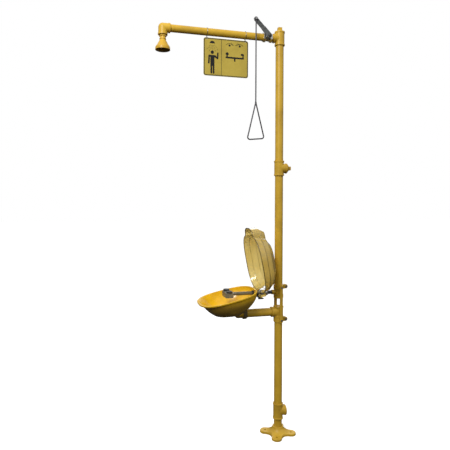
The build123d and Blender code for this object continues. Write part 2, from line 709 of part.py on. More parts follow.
SHOWER = dict(x=VALVE_X, z=ARM_Z, ball_r=VALVE_BALL_R, bore=VALVE_BORE)
EYEWASH = dict(x=EYE_VALVE_X, z=FEED_Z, ball_r=EYE_BALL_R, bore=EYE_BORE)

NODES = {
    "floor_flange": floor_flange(),
    "base_nipple": pole_pipe(FLANGE_BORE_Z, WASTE_Z - WASTE_HALF + SOCKET),
    "waste_tee": make_tee(WASTE_Z, WASTE_HALF, X_IN, POLE_R, POLE_BORE, WASTE_HALF, SOCKET),
    "drain_standpipe": pole_pipe(WASTE_Z + WASTE_HALF - SOCKET, DRAIN_Z - DRAIN_HALF + DRAIN_SOCKET),
    "drain_tee": make_tee(DRAIN_Z, DRAIN_HALF, X_OUT, POLE_R, POLE_BORE, WASTE_HALF, DRAIN_SOCKET),
    "drain_tee_plug": drain_tee_plug(),
    "drain_arm": tube((DRAIN_SOCKET - WASTE_HALF, 0, DRAIN_Z), X_OUT, POLE_R, POLE_BORE,
                      DRAIN_SOCKET - WASTE_HALF - RECESS_X - SPIGOT),
    "drain_union_nut": drain_union(),
    "lower_clamp": clamp_ring(LOWER_CLAMP_Z),
    "upper_clamp": clamp_ring(UPPER_CLAMP_Z),
    "bridge_bar_front": bridge_bar(-1),
    "bridge_bar_back": bridge_bar(1),
    "bridge_screws": bridge_screws(),
    "clamp_bolts": clamp_bolts(),
    "clamp_nuts": clamp_nuts(),
    "supply_cap": supply_cap(),
    "supply_pipe": supply_pipe(),
    "feed_boss": feed_boss(),
    "supply_tee": make_tee(TEE_Z, TEE_HALF, X_IN, POLE_R, POLE_BORE, WASTE_HALF, SOCKET),
    "supply_tee_plug": square_plug((WASTE_HALF, 0, TEE_Z), X_IN, POLE_R, SOCKET, 7, 22, PLUG_HEAD_H),
    "riser_pipe": pole_pipe(TEE_Z + TEE_HALF - SOCKET, ARM_Z - TOP_HALF + SOCKET),
    "top_tee": reducing_top_tee(),
    "top_plug": square_plug((0, 0, ARM_Z + TOP_HALF), UP, POLE_R, SOCKET, 3, 23, PLUG_HEAD_H),
    "arm_nipple": tube((SOCKET - TOP_BRANCH, 0, ARM_Z), X_OUT, ARM_R, ARM_BORE,
                       SOCKET - TOP_BRANCH - VALVE_X - VALVE_HALF + VALVE_SOCKET),
    "shower_valve_body": valve_body(half=VALVE_HALF, socket=VALVE_SOCKET, pipe_r=ARM_R, side=Y_NEAR,
                                    hex_af=VALVE_AF, stem_r=VALVE_STEM_R, neck=VALVE_NECK, **SHOWER),
    "shower_valve_end": valve_end(half=VALVE_HALF, socket=VALVE_SOCKET, pipe_r=ARM_R, hex_af=VALVE_AF,
                                  **SHOWER),
    "shower_valve_seats": valve_seats(half=VALVE_HALF, socket=VALVE_SOCKET, **SHOWER),
    "shower_valve_ball": valve_ball(side=Y_NEAR, bore_axis=UP, **SHOWER),
    "shower_valve_stem": valve_stem(VALVE_X, ARM_Z, VALVE_BALL_R, Y_NEAR, VALVE_STEM_R, 52),
    "shower_packing_nut": packing_nut(VALVE_X, ARM_Z, Y_NEAR, VALVE_STEM_R, VALVE_NECK, 20),
    "shower_lever": shower_lever(),
    "lever_nut": lever_nut(),
    "lever_pin": lever_pin(),
    "pull_rod": pull_rod(),
    "shower_arm": shower_arm(),
    "arm_elbow": arm_elbow(),
    "head_bushing": head_bushing(),
    "shower_head": shower_head(),
    "head_diffuser": head_diffuser(),
    "sign_plate": sign_plate(),
    "sign_hanger_near_pole": sign_hanger(HANGER_X[0]),
    "sign_hanger_near_head": sign_hanger(HANGER_X[1]),
    "feed_nipple": tube((-33, 0, FEED_Z), X_OUT, FEED_R, FEED_BORE,
                        EYE_SOCKET - 33 - EYE_VALVE_X - EYE_HALF),
    "eyewash_valve_body": valve_body(half=EYE_HALF, socket=EYE_SOCKET, pipe_r=FEED_R, side=Y_FAR,
                                     hex_af=EYE_AF, stem_r=EYE_STEM_R, neck=EYE_NECK, **EYEWASH),
    "eyewash_valve_end": valve_end(half=EYE_HALF, socket=EYE_SOCKET, pipe_r=FEED_R, hex_af=EYE_AF,
                                   **EYEWASH),
    "eyewash_valve_seats": valve_seats(half=EYE_HALF, socket=EYE_SOCKET, **EYEWASH),
    "eyewash_valve_ball": valve_ball(side=Y_FAR, bore_axis=X_IN, **EYEWASH),
    "eyewash_valve_stem": valve_stem(EYE_VALVE_X, FEED_Z, EYE_BALL_R, Y_FAR, EYE_STEM_R, LUG_OUT),
    "eyewash_packing_nut": packing_nut(EYE_VALVE_X, FEED_Z, Y_FAR, EYE_STEM_R, EYE_NECK, 16),
    "valve_crank": valve_crank(),
    "cover_link": cover_link(),
    "spray_arm": spray_arm(),
    "spray_head": spray_body(),
    "spray_nozzles": spray_nozzles(),
    "bowl": bowl(),
    "arm_grommet": arm_grommet(),
    "hinge_bracket": hinge_bracket(),
    "hinge_pins": hinge_pins(),
    "dust_cover": dust_cover(),
}

os.makedirs("parts", exist_ok=True)
for name, shape in NODES.items():
    shape.label = name
    export_step(shape, f"parts/{name}.step")
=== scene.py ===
import json
import math

import bmesh
import bpy
from mathutils import Matrix, Vector


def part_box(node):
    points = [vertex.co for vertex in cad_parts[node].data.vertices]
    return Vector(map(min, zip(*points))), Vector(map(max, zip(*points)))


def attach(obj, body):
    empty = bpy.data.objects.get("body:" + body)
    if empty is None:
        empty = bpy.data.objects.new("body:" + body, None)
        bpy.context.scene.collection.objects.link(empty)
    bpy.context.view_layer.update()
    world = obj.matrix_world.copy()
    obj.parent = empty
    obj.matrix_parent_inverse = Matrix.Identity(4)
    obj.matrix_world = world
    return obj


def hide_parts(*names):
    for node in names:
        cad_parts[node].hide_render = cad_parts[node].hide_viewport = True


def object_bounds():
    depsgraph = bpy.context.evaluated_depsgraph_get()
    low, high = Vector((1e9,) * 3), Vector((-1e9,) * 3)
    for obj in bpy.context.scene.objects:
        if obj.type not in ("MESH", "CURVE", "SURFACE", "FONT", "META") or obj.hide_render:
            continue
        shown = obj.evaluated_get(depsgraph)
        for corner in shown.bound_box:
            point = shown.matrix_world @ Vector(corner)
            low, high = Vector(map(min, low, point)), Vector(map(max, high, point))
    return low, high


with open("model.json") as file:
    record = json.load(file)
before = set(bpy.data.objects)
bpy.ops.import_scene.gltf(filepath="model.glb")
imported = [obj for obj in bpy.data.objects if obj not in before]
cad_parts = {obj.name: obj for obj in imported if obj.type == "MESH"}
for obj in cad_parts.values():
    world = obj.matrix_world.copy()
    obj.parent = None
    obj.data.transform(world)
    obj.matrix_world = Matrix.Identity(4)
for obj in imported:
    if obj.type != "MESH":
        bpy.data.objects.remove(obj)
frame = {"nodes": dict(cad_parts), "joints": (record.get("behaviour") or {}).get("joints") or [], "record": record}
CAD_LOW, CAD_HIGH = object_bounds()
NODES = frame["nodes"]
RECORD = frame["record"]
JOINTS = {joint["name"]: joint for joint in frame["joints"]}

TURN = 2 * math.pi

# ---- camera: degrees, and metres from the pole's axis ----
CAMERA_AZIMUTH = -14.3
CAMERA_DISTANCE = 2.711
CAMERA_HEIGHT = 1.395
CAMERA_SIDE = -0.3248
CAMERA_PITCH = 0.578
CAMERA_ROLL = 0.21
LENS_MM = 35.96
SENSOR_MM = 36.0
SHIFT_Y = -0.04
CLIP_END = 50.0

# ---- studio ----
FLOOR_SIZE = 60.0
FLOOR_DROP = 0.0005
FLOOR_GLOW = 0.46
WHITE = (1.0, 1.0, 1.0)
WARM_WHITE = (1.0, 0.98, 0.95)
ROOM_TONES = [(0.0, (0.022, 0.020, 0.018)), (0.47, (0.05, 0.048, 0.045)),
              (0.60, (0.42, 0.42, 0.42)), (1.0, (0.80, 0.80, 0.80))]

# ---- sizes that the looks add: metres, and a number of thread turns ----
EDGE_BEVEL = 0.0009
FLANGE_BEVEL = 0.0007
WELD_DISTANCE = 0.00001
PRINT_LIFT = 0.0004
PRINT_SINK = 0.0001
PRINT_LAYER = 0.00002
COVER_RIM_BEAD = 0.0026
COVER_STEP_BEAD = 0.0016
BOWL_RIM_BEAD = 0.0028
THREAD_PITCH = 0.0022
THREAD_TURNS = 2.6
THREAD_GAP = 0.0006

# ---- how finely curved pieces are divided ----
RIM_POINTS = 220
STEP_POINTS = 160
FLANGE_COLUMNS = 160
FLANGE_WEB_STEPS = 14
HALVINGS = 26
CAP_POINTS = 40


# ---- node material helpers ----
def new_material(name):
    material = bpy.data.materials.new(name)
    material.use_nodes = True
    tree = material.node_tree
    shader = tree.nodes["Principled BSDF"]
    return material, tree, shader


def add_node(tree, kind, **values):
    node = tree.nodes.new(kind)
    for key, value in values.items():
        setattr(node, key, value)
    return node


def noise(tree, coords, scale, detail=4.0, rough=0.5):
    node = add_node(tree, "ShaderNodeTexNoise")
    node.inputs["Scale"].default_value = scale
    node.inputs["Detail"].default_value = detail
    node.inputs["Roughness"].default_value = rough
    tree.links.new(coords, node.inputs["Vector"])
    return node.outputs["Fac"]


def stretched(tree, coords, scale):
    node = add_node(tree, "ShaderNodeMapping")
    node.inputs["Scale"].default_value = scale
    tree.links.new(coords, node.inputs["Vector"])
    return node.outputs["Vector"]


def ramp(tree, fac, stops):
    node = add_node(tree, "ShaderNodeValToRGB")
    elements = node.color_ramp.elements
    while len(elements) < len(stops):
        elements.new(0.5)
    for element, (place, colour) in zip(elements, stops):
        element.position = place
        element.color = (*colour, 1.0)
    tree.links.new(fac, node.inputs["Fac"])
    return node.outputs["Color"]


def ranged(tree, fac, low, high):
    node = add_node(tree, "ShaderNodeMapRange")
    node.inputs["To Min"].default_value = low
    node.inputs["To Max"].default_value = high
    tree.links.new(fac, node.inputs["Value"])
    return node.outputs["Result"]


def mixed(tree, fac, a, b):
    node = add_node(tree, "ShaderNodeMix", data_type="RGBA")
    tree.links.new(fac, node.inputs["Factor"])
    tree.links.new(a, node.inputs["A"])
    tree.links.new(b, node.inputs["B"])
    return node.outputs["Result"]


def bump(tree, shader, height, strength, distance):
    node = add_node(tree, "ShaderNodeBump")
    node.inputs["Strength"].default_value = strength
    node.inputs["Distance"].default_value = distance
    tree.links.new(height, node.inputs["Height"])
    tree.links.new(node.outputs["Normal"], shader.inputs["Normal"])


def object_coords(tree):
    return add_node(tree, "ShaderNodeTexCoord").outputs["Object"]


def coated(name, light, main, dark, rough):
    """Paint or powder coat: large soft colour drift, small stains, fine orange-peel bump."""
    material, tree, shader = new_material(name)
    coords = object_coords(tree)
    drift = ramp(tree, noise(tree, coords, 9.0, 3.0), [(0.30, dark), (0.52, main), (0.75, light)])
    stain = ramp(tree, noise(tree, coords, 70.0, 6.0, 0.6), [(0.34, dark), (0.50, main), (1.0, main)])
    share = ranged(tree, noise(tree, coords, 24.0, 2.0), 0.05, 0.45)
    tree.links.new(mixed(tree, share, drift, stain), shader.inputs["Base Color"])
    dulling = ranged(tree, noise(tree, coords, 40.0), rough - 0.06, rough + 0.10)
    tree.links.new(dulling, shader.inputs["Roughness"])
    shader.inputs["Specular IOR Level"].default_value = 0.30
    bump(tree, shader, noise(tree, coords, 900.0, 2.0), 0.12, 0.0004)
    return material


def metal(name, colour, dark, rough, streak):
    """Bare metal with drawn streaks along one direction and a few darker patches."""
    material, tree, shader = new_material(name)
    coords = object_coords(tree)
    lines = noise(tree, stretched(tree, coords, streak), 60.0, 5.0, 0.6)
    tree.links.new(ramp(tree, lines, [(0.3, dark), (0.7, colour)]), shader.inputs["Base Color"])
    tree.links.new(ranged(tree, lines, rough - 0.07, rough + 0.12), shader.inputs["Roughness"])
    shader.inputs["Metallic"].default_value = 1.0
    bump(tree, shader, lines, 0.10, 0.0002)
    return material


def moulded(name, light, main, dark, rough, coat, see_through=0.0):
    """Moulded plastic: slow colour drift, faint flow marks, fine surface texture."""
    material, tree, shader = new_material(name)
    coords = object_coords(tree)
    flow = noise(tree, stretched(tree, coords, (1.0, 1.0, 0.35)), 14.0, 3.0)
    tree.links.new(ramp(tree, flow, [(0.3, dark), (0.5, main), (0.72, light)]), shader.inputs["Base Color"])
    dulling = ranged(tree, noise(tree, coords, 55.0), rough - 0.04, rough + 0.08)
    tree.links.new(dulling, shader.inputs["Roughness"])
    shader.inputs["Coat Weight"].default_value = coat
    shader.inputs["Coat Roughness"].default_value = 0.08
    shader.inputs["Transmission Weight"].default_value = see_through
    bump(tree, shader, noise(tree, coords, 260.0, 3.0), 0.06, 0.0005)
    return material


# Each finish: its maker, then the maker's values. Coated and moulded take light, main and dark colours
# and a roughness, and moulded also a gloss coat and how far it is seen through. Metal takes a colour, a
# dark colour, a roughness and the scale that draws its streaks out.
FINISHES = {
    "safety_yellow": (coated, (0.70, 0.445, 0.048), (0.62, 0.385, 0.036), (0.45, 0.27, 0.030), 0.34),
    "head_yellow": (coated, (0.74, 0.47, 0.055), (0.66, 0.40, 0.040), (0.48, 0.28, 0.032), 0.32),
    "bowl_yellow": (moulded, (0.92, 0.56, 0.010), (0.84, 0.50, 0.008), (0.70, 0.40, 0.008), 0.24, 0.35),
    "cover_plastic": (moulded, (0.88, 0.72, 0.27), (0.82, 0.64, 0.20), (0.72, 0.54, 0.14), 0.09, 0.3, 0.60),
    # Painted shade: a dark copy of the cover plastic for the rim and step beads, standing in for the shade along
    # the cover's edge and steps.
    "cover_edge_painted_shade": (moulded, (0.32, 0.24, 0.07), (0.22, 0.16, 0.045), (0.14, 0.10, 0.03), 0.12, 0.3, 0.2),
    "drain_union": (coated, (0.20, 0.15, 0.06), (0.13, 0.10, 0.045), (0.07, 0.055, 0.03), 0.5),
    "steel_fastener": (metal, (0.50, 0.50, 0.49), (0.30, 0.30, 0.30), 0.36, (1.0, 1.0, 1.0)),
    "rod_steel": (metal, (0.13, 0.13, 0.14), (0.06, 0.06, 0.065), 0.42, (1.0, 1.0, 0.06)),
    "valve_chrome": (metal, (0.88, 0.87, 0.83), (0.66, 0.65, 0.61), 0.30, (0.2, 1.0, 1.0)),
    "valve_ball": (metal, (0.70, 0.70, 0.71), (0.56, 0.56, 0.57), 0.14, (1.0, 1.0, 1.0)),
    "brass_nut": (metal, (0.66, 0.47, 0.20), (0.42, 0.29, 0.11), 0.3, (1.0, 0.2, 1.0)),
    "white_seat": (moulded, (0.84, 0.84, 0.82), (0.78, 0.78, 0.76), (0.68, 0.68, 0.66), 0.4, 0.0),
    "lever_grey": (coated, (0.16, 0.17, 0.17), (0.11, 0.115, 0.115), (0.055, 0.06, 0.06), 0.42),
    "sign_face": (coated, (0.55, 0.42, 0.075), (0.48, 0.365, 0.058), (0.38, 0.28, 0.045), 0.42),
    "sign_ink": (coated, (0.012, 0.011, 0.010), (0.007, 0.0065, 0.006), (0.004, 0.004, 0.0035), 0.58),
    "sign_olive_ink": (coated, (0.17, 0.14, 0.035), (0.12, 0.10, 0.024), (0.08, 0.07, 0.018), 0.38),
    "grey_plastic": (moulded, (0.24, 0.22, 0.15), (0.16, 0.15, 0.105), (0.09, 0.085, 0.06), 0.40, 0.1),
    "dark_plastic": (moulded, (0.05, 0.05, 0.045), (0.03, 0.03, 0.027), (0.015, 0.015, 0.014), 0.45, 0.1),
    "black_rubber": (moulded, (0.03, 0.03, 0.03), (0.018, 0.018, 0.018), (0.01, 0.01, 0.01), 0.7, 0.0),
}
MATERIALS = {finish: make(f"m_{finish}", *values) for finish, (make, *values) in FINISHES.items()}
# Painted shade: the colour the bowl's downward faces take in place of the shade below it.
BOWL_PAINTED_UNDERSIDE_SHADE = (0.40, 0.25, 0.032)


def paint_underside_shade(material, shade):
    """Painted shade: faces that look down take a darker shade colour, standing in for the shade under the
    moulding.
    """
    tree = material.node_tree
    shader = tree.nodes["Principled BSDF"]
    face = add_node(tree, "ShaderNodeSeparateXYZ")
    tree.links.new(add_node(tree, "ShaderNodeNewGeometry").outputs["Normal"], face.inputs["Vector"])
    down = add_node(tree, "ShaderNodeMapRange")
    tree.links.new(face.outputs["Z"], down.inputs["Value"])
    down.inputs["From Min"].default_value = -0.05
    down.inputs["From Max"].default_value = -0.45
    colour = shader.inputs["Base Color"].links[0].from_socket
    darker = tuple(0.8 * part for part in shade)
    # The painted shade colour, drifting at random between it and a darker copy.
    painted_shade = ramp(tree, noise(tree, object_coords(tree), 18.0, 3.0), [(0.3, darker), (0.7, shade)])
    tree.links.new(mixed(tree, down.outputs["Result"], colour, painted_shade), shader.inputs["Base Color"])


# The bowl's downward faces get painted shade.
paint_underside_shade(MATERIALS["bowl_yellow"], BOWL_PAINTED_UNDERSIDE_SHADE)


# ---- mesh helpers ----
def finish_piece(name, mesh_data, material_slot, body, smooth=True, finish=None):
    """Make an object of the mesh, ride it on its body, and give it its slot's finish or another one."""
    bmesh.ops.recalc_face_normals(mesh_data, faces=mesh_data.faces)
    mesh = bpy.data.meshes.new(name)
    mesh_data.to_mesh(mesh)
    mesh_data.free()
    for polygon in mesh.polygons:
        polygon.use_smooth = smooth
    piece = bpy.data.objects.new(name, mesh)
    bpy.context.scene.collection.objects.link(piece)
    mesh.materials.append(MATERIALS[finish or material_slot])
    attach(piece, body)
    return piece


def soften(piece, width=EDGE_BEVEL, segments=2, angle=38.0):
    bevel = piece.modifiers.new("edge", "BEVEL")
    bevel.width = width
    bevel.segments = segments
    bevel.limit_method = "ANGLE"
    bevel.angle_limit = math.radians(angle)
    shade = piece.modifiers.new("shade", "WEIGHTED_NORMAL")
    shade.keep_sharp = True


def dress_cad_nodes():
    """Every CAD node keeps its shape and gets its slot's material and eased edges."""
    for row in RECORD["subparts"]:
        node = NODES[row["node"]]
        node.data.materials.clear()
        node.data.materials.append(MATERIALS[row["material_slot"]])
        for polygon in node.data.polygons:
            polygon.use_smooth = True
        weld = node.modifiers.new("weld", "WELD")
        weld.merge_threshold = WELD_DISTANCE
        soften(node)


# ---- floor, lights, camera ----
def make_floor():
    bpy.ops.mesh.primitive_plane_add(size=FLOOR_SIZE, location=(0.0, 0.0, CAD_LOW.z - FLOOR_DROP))
    floor = bpy.context.object
    floor.name = "studio_floor"
    material, tree, shader = new_material("m_floor")
    coords = object_coords(tree)
    tone = ramp(tree, noise(tree, coords, 1.5, 2.0), [(0.3, (0.93, 0.93, 0.93)), (0.7, (0.96, 0.96, 0.96))])
    tree.links.new(tone, shader.inputs["Base Color"])
    shader.inputs["Roughness"].default_value = 0.9
    shader.inputs["Emission Color"].default_value = (*WHITE, 1.0)
    shader.inputs["Emission Strength"].default_value = FLOOR_GLOW
    floor.data.materials.append(material)
    floor.visible_diffuse = False
    floor.visible_glossy = False


def area_light(name, place, target, size, power, colour=WHITE):
    data = bpy.data.lights.new(name, "AREA")
    data.shape = "RECTANGLE"
    data.size, data.size_y = size
    data.energy = power
    data.color = colour
    light = bpy.data.objects.new(name, data)
    light.location = place
    light.rotation_euler = (Vector(target) - Vector(place)).to_track_quat("-Z", "Y").to_euler()
    bpy.context.scene.collection.objects.link(light)


def make_lights():
    """The camera sees white. Three lamps and a studio, dim below and bright above, light the object."""
    world = bpy.data.worlds.new("studio")
    world.use_nodes = True
    tree = world.node_tree
    background = tree.nodes["Background"]
    coords = add_node(tree, "ShaderNodeTexCoord").outputs["Generated"]
    parts = add_node(tree, "ShaderNodeSeparateXYZ")
    tree.links.new(coords, parts.inputs["Vector"])
    height = add_node(tree, "ShaderNodeMapRange")
    height.inputs["From Min"].default_value = -1.0
    tree.links.new(parts.outputs["Z"], height.inputs["Value"])
    studio = ramp(tree, height.outputs["Result"], ROOM_TONES)
    seen = add_node(tree, "ShaderNodeLightPath").outputs["Is Camera Ray"]
    white = add_node(tree, "ShaderNodeMix", data_type="RGBA")
    white.inputs["B"].default_value = (*WHITE, 1.0)
    tree.links.new(seen, white.inputs["Factor"])
    tree.links.new(studio, white.inputs["A"])
    tree.links.new(white.outputs["Result"], background.inputs["Color"])
    background.inputs["Strength"].default_value = 1.0
    bpy.context.scene.world = world
    area_light("key", (-1.9, -2.3, 3.5), (-0.2, 0.0, 1.6), (1.1, 1.8), 92.0, WARM_WHITE)
    area_light("fill", (2.6, -2.4, 2.4), (0.0, 0.0, 1.2), (1.4, 2.4), 10.0)
    area_light("rim", (1.0, 2.6, 2.6), (-0.1, 0.0, 1.5), (1.0, 2.0), 14.0)


def make_camera():
    turn = math.radians(CAMERA_AZIMUTH)
    right = Vector((math.cos(turn), math.sin(turn), 0.0))
    back = Vector((math.sin(turn), -math.cos(turn), 0.0))
    place = right * CAMERA_SIDE + back * CAMERA_DISTANCE + Vector((0.0, 0.0, CAMERA_HEIGHT))
    data = bpy.data.cameras.new("camera")
    data.sensor_width = SENSOR_MM
    data.lens = LENS_MM
    data.shift_y = SHIFT_Y
    data.clip_end = CLIP_END
    camera = bpy.data.objects.new("camera", data)
    level = Matrix((right, Vector((0.0, 0.0, 1.0)), back)).transposed().to_4x4()
    pitch = Matrix.Rotation(math.radians(-CAMERA_PITCH), 4, "X")
    roll = Matrix.Rotation(math.radians(CAMERA_ROLL), 4, "Z")
    camera.matrix_world = Matrix.Translation(place) @ level @ pitch @ roll
    bpy.context.scene.collection.objects.link(camera)
    bpy.context.scene.camera = camera


# ---- sizes repeated from the CAD model, in metres ----
FLANGE_LOBE_R, FLANGE_LOBE_END, FLANGE_WEB_R, FLANGE_TURN = 0.078, 0.030, 0.040, -25.0
FLANGE_PLATE, FLANGE_TOP, FLANGE_HUB_R, FLANGE_HOLE_R = 0.013, 0.046, 0.033, 0.007
FLANGE_FOOT_R = 0.070
POLE_R, POLE_BORE, ARM_R, SOCKET_R = 0.02415, 0.02045, 0.0211, 0.0242
STEP_Z = 0.010
RIM_X, RIM_Z, RIM_TILT, RIM_A, RIM_B, RIM_POWER = -0.322, 0.847, 12.3, 0.169, 0.157, 2.7
LIP_OUT = 0.005
COVER_LEAN, COVER_MID, COVER_RISE, COVER_H, COVER_POWER = 11.0, 0.1695, 0.0295, 0.098, 3.0
COVER_A, COVER_B, GRIP_A, GRIP_B, GRIP_BACK = 0.172, 0.161, 0.062, 0.074, 0.020
COVER_STEPS = ((0.38, 0.955, 0.002), (0.74, 0.83, 0.005), (1.0, 0.58, 0.009))
SUMP_X, SUMP_COVER_Z = -0.252, 0.7498
FLANGE_LOBES = 4


# ---- what several pieces share ----
def edge_distance(inside, angle, low, high):
    """How far an outline is from its centre at an angle, found by halving between two distances."""
    for _ in range(HALVINGS):
        middle = (low + high) / 2
        if inside(middle * math.cos(angle), middle * math.sin(angle)):
            low = middle
        else:
            high = middle
    return low


def grid_faces(mesh_data, rings, closed):
    """Quads between neighbouring rings; closed joins the last ring to the first."""
    count = len(rings[0])
    last = len(rings) if closed else len(rings) - 1
    for i in range(last):
        a, b = rings[i], rings[(i + 1) % len(rings)]
        for k in range(count):
            n = (k + 1) % count
            mesh_data.faces.new((a[k], a[n], b[n], b[k]))


# ---- floor flange: one casting with lobes that flow into the hub ----
def in_flange(x, y):
    """Whether a point is inside the outline: four round-ended lobes with hollow webs between them."""
    a, b = sorted((abs(x), abs(y)), reverse=True)
    if b <= FLANGE_LOBE_END and a <= FLANGE_LOBE_R:
        return True
    if math.hypot(a - FLANGE_LOBE_R, b) <= FLANGE_LOBE_END:
        return True
    far = FLANGE_LOBE_END + FLANGE_WEB_R
    return a < far and b < far and math.hypot(a - far, b - far) >= FLANGE_WEB_R


def flange_profile(edge):
    """Radius and height round one section: bore, socket, hub, the slope to the plate, and its edge."""
    profile = [(POLE_BORE, 0.0), (POLE_BORE, STEP_Z), (SOCKET_R, STEP_Z), (SOCKET_R, FLANGE_TOP - 0.001),
               (SOCKET_R + 0.001, FLANGE_TOP), (FLANGE_HUB_R - 0.0015, FLANGE_TOP),
               (FLANGE_HUB_R, FLANGE_TOP - 0.0015), (FLANGE_HUB_R + 0.0003, FLANGE_TOP - 0.006)]
    for step in range(1, FLANGE_WEB_STEPS + 1):
        radius = FLANGE_HUB_R + 0.0003 + (edge - 0.004 - FLANGE_HUB_R) * step / FLANGE_WEB_STEPS
        rise = max(0.0, (FLANGE_FOOT_R - radius) / (FLANGE_FOOT_R - FLANGE_HUB_R)) ** 2.1
        profile.append((radius, FLANGE_PLATE + (FLANGE_TOP - 0.008 - FLANGE_PLATE) * rise))
    profile += [(edge - 0.0022, FLANGE_PLATE - 0.0006), (edge - 0.0007, FLANGE_PLATE - 0.0022),
                (edge, FLANGE_PLATE - 0.0045), (edge, 0.0)]
    return profile


def flange_hole(piece, number):
    turn = math.radians(FLANGE_TURN + 360 / FLANGE_LOBES * number)
    place = (FLANGE_LOBE_R * math.cos(turn), FLANGE_LOBE_R * math.sin(turn), FLANGE_PLATE / 2)
    bpy.ops.mesh.primitive_cylinder_add(vertices=48, radius=FLANGE_HOLE_R, depth=0.06, location=place)
    cutter = bpy.context.object
    hole = piece.modifiers.new("hole", "BOOLEAN")
    hole.object = cutter
    hole.solver = "EXACT"
    bpy.context.view_layer.objects.active = piece
    bpy.ops.object.modifier_apply(modifier="hole")
    bpy.data.objects.remove(cutter)


def flange_casting():
    data = bmesh.new()
    columns = []
    for k in range(FLANGE_COLUMNS):
        angle = TURN * k / FLANGE_COLUMNS
        turned = angle + math.radians(FLANGE_TURN)
        profile = flange_profile(edge_distance(in_flange, angle, 0.02, 0.12))
        columns.append([data.verts.new((r * math.cos(turned), r * math.sin(turned), z)) for r, z in profile])
    grid_faces(data, columns, True)
    piece = finish_piece("flange_casting", data, "safety_yellow", "root")
    for number in range(FLANGE_LOBES):
        flange_hole(piece, number)
    soften(piece, FLANGE_BEVEL)
    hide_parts("floor_flange")


# ---- tubes and beads along closed outlines ----
def closed_tube(name, points, radius, material_slot, body, finish=None, steps=10):
    """A round bead along a closed flat outline."""
    data = bmesh.new()
    count = len(points)
    middle = sum(points, Vector()) / count
    normal = (points[0] - middle).cross(points[count // 4] - middle).normalized()
    rings = []
    for k in range(count):
        heading = (points[(k + 1) % count] - points[k - 1]).normalized()
        side = heading.cross(normal).normalized()
        turns = [TURN * j / steps for j in range(steps)]
        rings.append([data.verts.new(points[k] + radius * (math.cos(turn) * side + math.sin(turn) * normal))
                      for turn in turns])
    grid_faces(data, rings, True)
    finish_piece(name, data, material_slot, body, finish=finish)


def super_point(a, b, power, angle):
    """A point of a superellipse: a rounded outline between an ellipse and a rectangle."""
    c, s = math.cos(angle), math.sin(angle)
    return a * math.copysign(abs(c) ** (2 / power), c), b * math.copysign(abs(s) ** (2 / power), s)


def cover_point(u, v, w):
    """A place on the open cover: u up from its hinge, v across it, and w towards the pole."""
    hinge = Vector(JOINTS["dust_cover_hinge"]["pos_m"])
    c, s = math.cos(math.radians(COVER_LEAN)), math.sin(math.radians(COVER_LEAN))
    return hinge + Vector((-s, 0.0, c)) * u + Vector((0.0, -1.0, 0.0)) * v + Vector((c, 0.0, s)) * w


def inside_cover_rim(u, v):
    if abs((u - COVER_MID) / COVER_A) ** COVER_POWER + abs(v / COVER_B) ** COVER_POWER <= 1:
        return True
    grip_u = COVER_MID + COVER_A - GRIP_BACK
    return abs((u - grip_u) / GRIP_A) ** COVER_POWER + abs(v / GRIP_B) ** COVER_POWER <= 1


def cover_rim():
    points = []
    for k in range(RIM_POINTS):
        angle = TURN * k / RIM_POINTS
        out = edge_distance(lambda u, v: inside_cover_rim(COVER_MID + u, v), angle, 0.02, 0.30)
        u, v = COVER_MID + out * math.cos(angle), out * math.sin(angle)
        points.append(cover_point(u, v, COVER_RISE + 0.0012))
    # The rim bead takes the dark painted-shade copy of the cover plastic.
    closed_tube("cover_rim_bead", points, COVER_RIM_BEAD, "cover_plastic", "dust_cover", "cover_edge_painted_shade")


def cover_steps():
    for number, (share, scale, shift) in enumerate(COVER_STEPS):
        points = []
        for k in range(STEP_POINTS):
            u, v = super_point(COVER_A * scale, COVER_B * scale, COVER_POWER, TURN * k / STEP_POINTS)
            points.append(cover_point(COVER_MID + shift + u, v, COVER_RISE + COVER_H * share - 0.0004))
        # The step beads take the dark painted-shade copy of the cover plastic.
        closed_tube(f"cover_step_{number}", points, COVER_STEP_BEAD, "cover_plastic", "dust_cover",
                    "cover_edge_painted_shade", steps=8)


def bowl_rim():
    c, s = math.cos(math.radians(RIM_TILT)), math.sin(math.radians(RIM_TILT))
    out, sink = LIP_OUT - 0.002, 0.001
    points = []
    for k in range(RIM_POINTS):
        x, y = super_point(RIM_A + out, RIM_B + out, RIM_POWER, TURN * k / RIM_POINTS)
        points.append(Vector((RIM_X - c * x + s * sink, y, RIM_Z - s * x - c * sink)))
    closed_tube("bowl_rim_bead", points, BOWL_RIM_BEAD, "bowl_yellow", "root")


